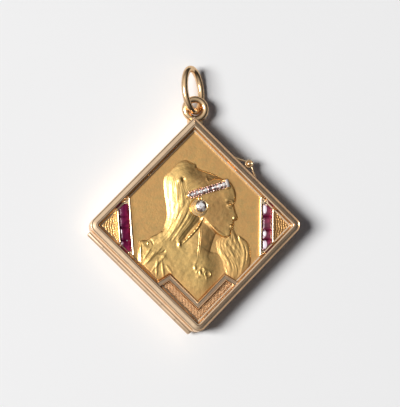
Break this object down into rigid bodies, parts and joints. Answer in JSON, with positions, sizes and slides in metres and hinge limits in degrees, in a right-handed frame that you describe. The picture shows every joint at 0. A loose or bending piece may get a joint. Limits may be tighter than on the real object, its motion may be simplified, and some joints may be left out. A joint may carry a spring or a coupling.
{
  "type": "gemstone pendant",
  "caption": "Square hinged gold locket pendant hung by a corner, with a low relief bust, square-cut rubies and small diamonds in a moulded frame.",
  "frame": {"origin": "middle of the case's flat back face, which the pendant lies on", "axes": "+Z out of the front of the locket, +Y up the pendant towards its bail, +X to the right seen from the front"},
  "size_m": [0.0339, 0.043, 0.0043],
  "materials": {
    "rose_gold": "brushed",
    "polished_gold": "polished",
    "satin_gold": "satin",
    "matte_gold": "matte stippled",
    "white_gold": "polished",
    "ruby": "polished facets",
    "diamond": "polished facets"
  },
  "bodies": {
    "case": {"back_case": "rose_gold", "hinge_pin": "rose_gold", "bail": "polished_gold"},
    "lid": {"lid_frame": "rose_gold", "relief_plate": "satin_gold", "corner_panel_left": "matte_gold", "corner_panel_right": "matte_gold", "chevron_panel": "matte_gold", "ruby_channel_left": "polished_gold", "ruby_channel_right": "polished_gold", "headband": "white_gold", "ear_setting": "polished_gold", "ear_diamond": "diamond", "thumb_catch": "rose_gold", "ruby_left_1": "ruby", "ruby_left_2": "ruby", "ruby_left_3": "ruby", "ruby_left_4": "ruby", "ruby_right_1": "ruby", "ruby_right_2": "ruby", "ruby_right_3": "ruby", "ruby_right_4": "ruby", "headband_stone_1": "diamond", "headband_stone_2": "diamond", "headband_stone_3": "diamond", "headband_stone_4": "diamond", "headband_stone_5": "diamond", "headband_stone_6": "diamond", "headband_stone_7": "diamond", "headband_stone_8": "diamond"}
  },
  "joints": [
    {"name": "lid_hinge", "type": "hinge", "parent": "case", "child": "lid", "pos_m": [-0.0089, -0.0089, 0.00122], "axis": [0.7071, -0.7071, 0], "range_deg": [0, 120]}
  ]
}
